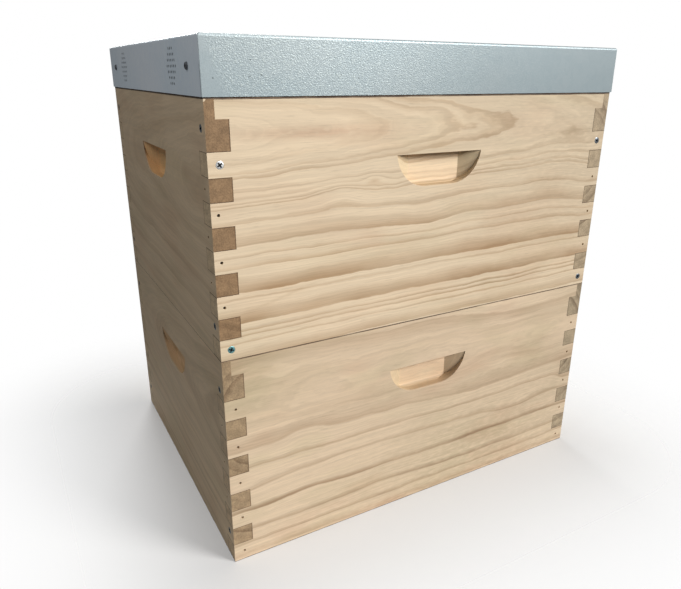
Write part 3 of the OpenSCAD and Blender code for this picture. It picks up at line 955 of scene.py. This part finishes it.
def place_screws(name, node, one_screw, materials, sunk, chance):
    """Puts a copy of one_screw at each solid of node, and lets the copies stand for node.

    sunk is how far a screw's rim lies below the outer end of its solid.
    """
    source = NODES[node].data
    whole = bmesh.new()
    for faces in solids_of(source):
        low, high = box_of(source, faces)
        size = high - low
        axis = max((X, Y), key=lambda a: size[a])
        outward = Vector((0, 0, 0))
        centre = (low + high) / 2
        outward[axis] = 1.0 if centre[axis] > 0 else -1.0
        centre[axis] = high[axis] if centre[axis] > 0 else low[axis]
        centre -= outward * sunk
        spin = Matrix.Rotation(chance.uniform(0, math.pi / 2), 4, "Z")
        turn = outward.to_track_quat("Z", "Y").to_matrix().to_4x4()
        copy = one_screw.copy()
        copy.transform(Matrix.Translation(centre) @ turn @ spin)
        whole.from_mesh(copy)
        bpy.data.meshes.remove(copy)
    data = bpy.data.meshes.new(name)
    whole.to_mesh(data)
    whole.free()
    for material in materials:
        data.materials.append(material)
    data.shade_smooth()
    data.set_sharp_from_angle(angle=math.radians(35))
    stand_in(name, node, data)


PAN_HEAD = 1.8 * MM


def mm_points(*points):
    return [(radius * MM, z * MM) for radius, z in points]


def finish_fixings():
    chance = random.Random(6)
    zinc = steel_material("zinc_screw", linear(150, 158, 166), rough=0.40, metal=0.85,
                          odd=ODD_SCREWS)
    dark = steel_material("dark_steel", linear(88, 86, 86), rough=0.45)
    dull = steel_material("dull_steel", linear(132, 118, 102), rough=0.6, metal=0.3)
    worn = steel_material("worn_steel", linear(112, 116, 122), rough=0.5, metal=0.3)
    # Near black: painted shade in the cross recesses, over some grime
    recess_shade_and_grime = steel_material("screw_recess", linear(34, 34, 36), rough=0.7, metal=0.2)
    box_screw = screw_mesh(
        3.75 * MM, mm_points((3.45, 0.12), (2.95, 0.2)),
        threaded_shank(mm_points((3.7, -0.35), (1.95, -2.4), (1.9, -14)),
                       length=49.5 * MM, core=1.35 * MM, crest=2.05 * MM, pitch=2.4 * MM),
        recess_r=2.6 * MM, recess_depth=1.5 * MM)
    lid_screw = screw_mesh(
        3.5 * MM, mm_points((3.35, 0.85), (2.95, 1.5)) + [(2.5 * MM, PAN_HEAD)],
        threaded_shank(mm_points((3.45, -0.05), (1.75, -0.06), (1.75, -2)),
                       length=19.5 * MM, core=1.15 * MM, crest=1.78 * MM, pitch=1.8 * MM),
        recess_r=1.9 * MM, recess_depth=1.0 * MM)
    for deck in DECKS:
        place_screws(f"{deck}_screw_set", f"{deck}_box_screws", box_screw, (zinc, recess_shade_and_grime),
                     0.2 * MM, chance)
        set_material(f"{deck}_box_nails", dark if deck == "upper" else dull)
    place_screws("lid_screw_set", "lid_screws", lid_screw, (worn, recess_shade_and_grime), PAN_HEAD,
                 chance)
    set_material("lid_nails", dark)
    for data in (box_screw, lid_screw):
        bpy.data.meshes.remove(data)


# ---- Floor and light --------------------------------------------------------------

FLOOR_REACH = 0.7
FLOOR_FADE = (-0.15, 0.32)  # where it starts and ends, measured from the hive's foot
WHITE = (1.0, 1.0, 1.0)


def make_floor():
    """A pale floor that fades out into the white around it."""
    bm = bmesh.new()
    bmesh.ops.create_grid(bm, x_segments=1, y_segments=1, size=FLOOR_REACH)
    data = bpy.data.meshes.new("floor")
    bm.to_mesh(data)
    bm.free()
    floor = bpy.data.objects.new("floor", data)
    floor.location.z = -0.2 * MM
    bpy.context.scene.collection.objects.link(floor)
    s = Shader("floor")
    place = s.position()
    away = []
    for axis, half in ((X, FACE_HALF_X), (Y, FACE_HALF_Y)):
        beyond = s.math("MAXIMUM", s.total(s.absolute(place[axis]), -half), 0.0)
        away.append(s.product(beyond, beyond))
    away = s.math("SQRT", s.total(*away))
    s.bsdf.inputs["Base Color"].default_value = (0.78, 0.78, 0.78, 1.0)
    s.bsdf.inputs["Roughness"].default_value = 0.9
    s.bsdf.inputs["Specular IOR Level"].default_value = 0.1
    s.put(s.bsdf.inputs["Alpha"], s.remap(away, *FLOOR_FADE, 1.0, 0.0))
    data.materials.append(s.material)


def add_light(kind, name, at, aim, power, colour):
    data = bpy.data.lights.new(name, kind)
    data.energy = power
    data.color = colour
    light = bpy.data.objects.new(name, data)
    light.location = at
    light.rotation_mode = "QUATERNION"
    light.rotation_quaternion = (Vector(aim) - Vector(at)).to_track_quat("-Z", "Y")
    bpy.context.scene.collection.objects.link(light)
    return data


def add_disk(name, at, aim, power, size, colour=WHITE):
    disk = add_light("AREA", name, at, aim, power, colour)
    disk.shape = "DISK"
    disk.size = size


def make_light():
    """A broad key from the front right, which leaves the left side in shade."""
    key = add_light("SUN", "key", (2.9, -3.3, 2.25), (0, 0, 0.28), 3.75, (1.0, 0.985, 0.965))
    key.angle = math.radians(24)
    add_disk("sky", (-0.9, -0.30, 1.25), (-0.25, 0.0, 0.35), 2.6, 0.5, (1.0, 0.98, 0.97))
    add_disk("top", (0.05, 0.05, 1.6), (0.05, 0.05, 0.5), 4.0, 0.3)
    add_disk("back", (0.3, 2.0, 1.0), (0, 0, 0.25), 34.0, 0.9)
    make_world()
    bpy.context.scene.view_settings.view_transform = "Standard"


def make_world():
    """A dim world that looks white to the camera."""
    world = bpy.data.worlds.new("world")
    world.use_nodes = True
    tree = world.node_tree
    dim = tree.nodes["Background"]
    dim.inputs[0].default_value = (0.95, 0.98, 1.0, 1.0)
    dim.inputs[1].default_value = 0.12
    white = tree.nodes.new("ShaderNodeBackground")
    white.inputs[0].default_value = WHITE + (1.0,)
    seen = tree.nodes.new("ShaderNodeLightPath")
    mixed = tree.nodes.new("ShaderNodeMixShader")
    tree.links.new(seen.outputs["Is Camera Ray"], mixed.inputs[0])
    tree.links.new(dim.outputs[0], mixed.inputs[1])
    tree.links.new(white.outputs[0], mixed.inputs[2])
    tree.links.new(mixed.outputs[0], tree.nodes["World Output"].inputs[0])
    bpy.context.scene.world = world


make_camera()
make_light()
make_floor()
finish_boxes()
finish_lid_wood()
finish_cover()
finish_frames()
finish_fixings()

bpy.context.view_layer.update()
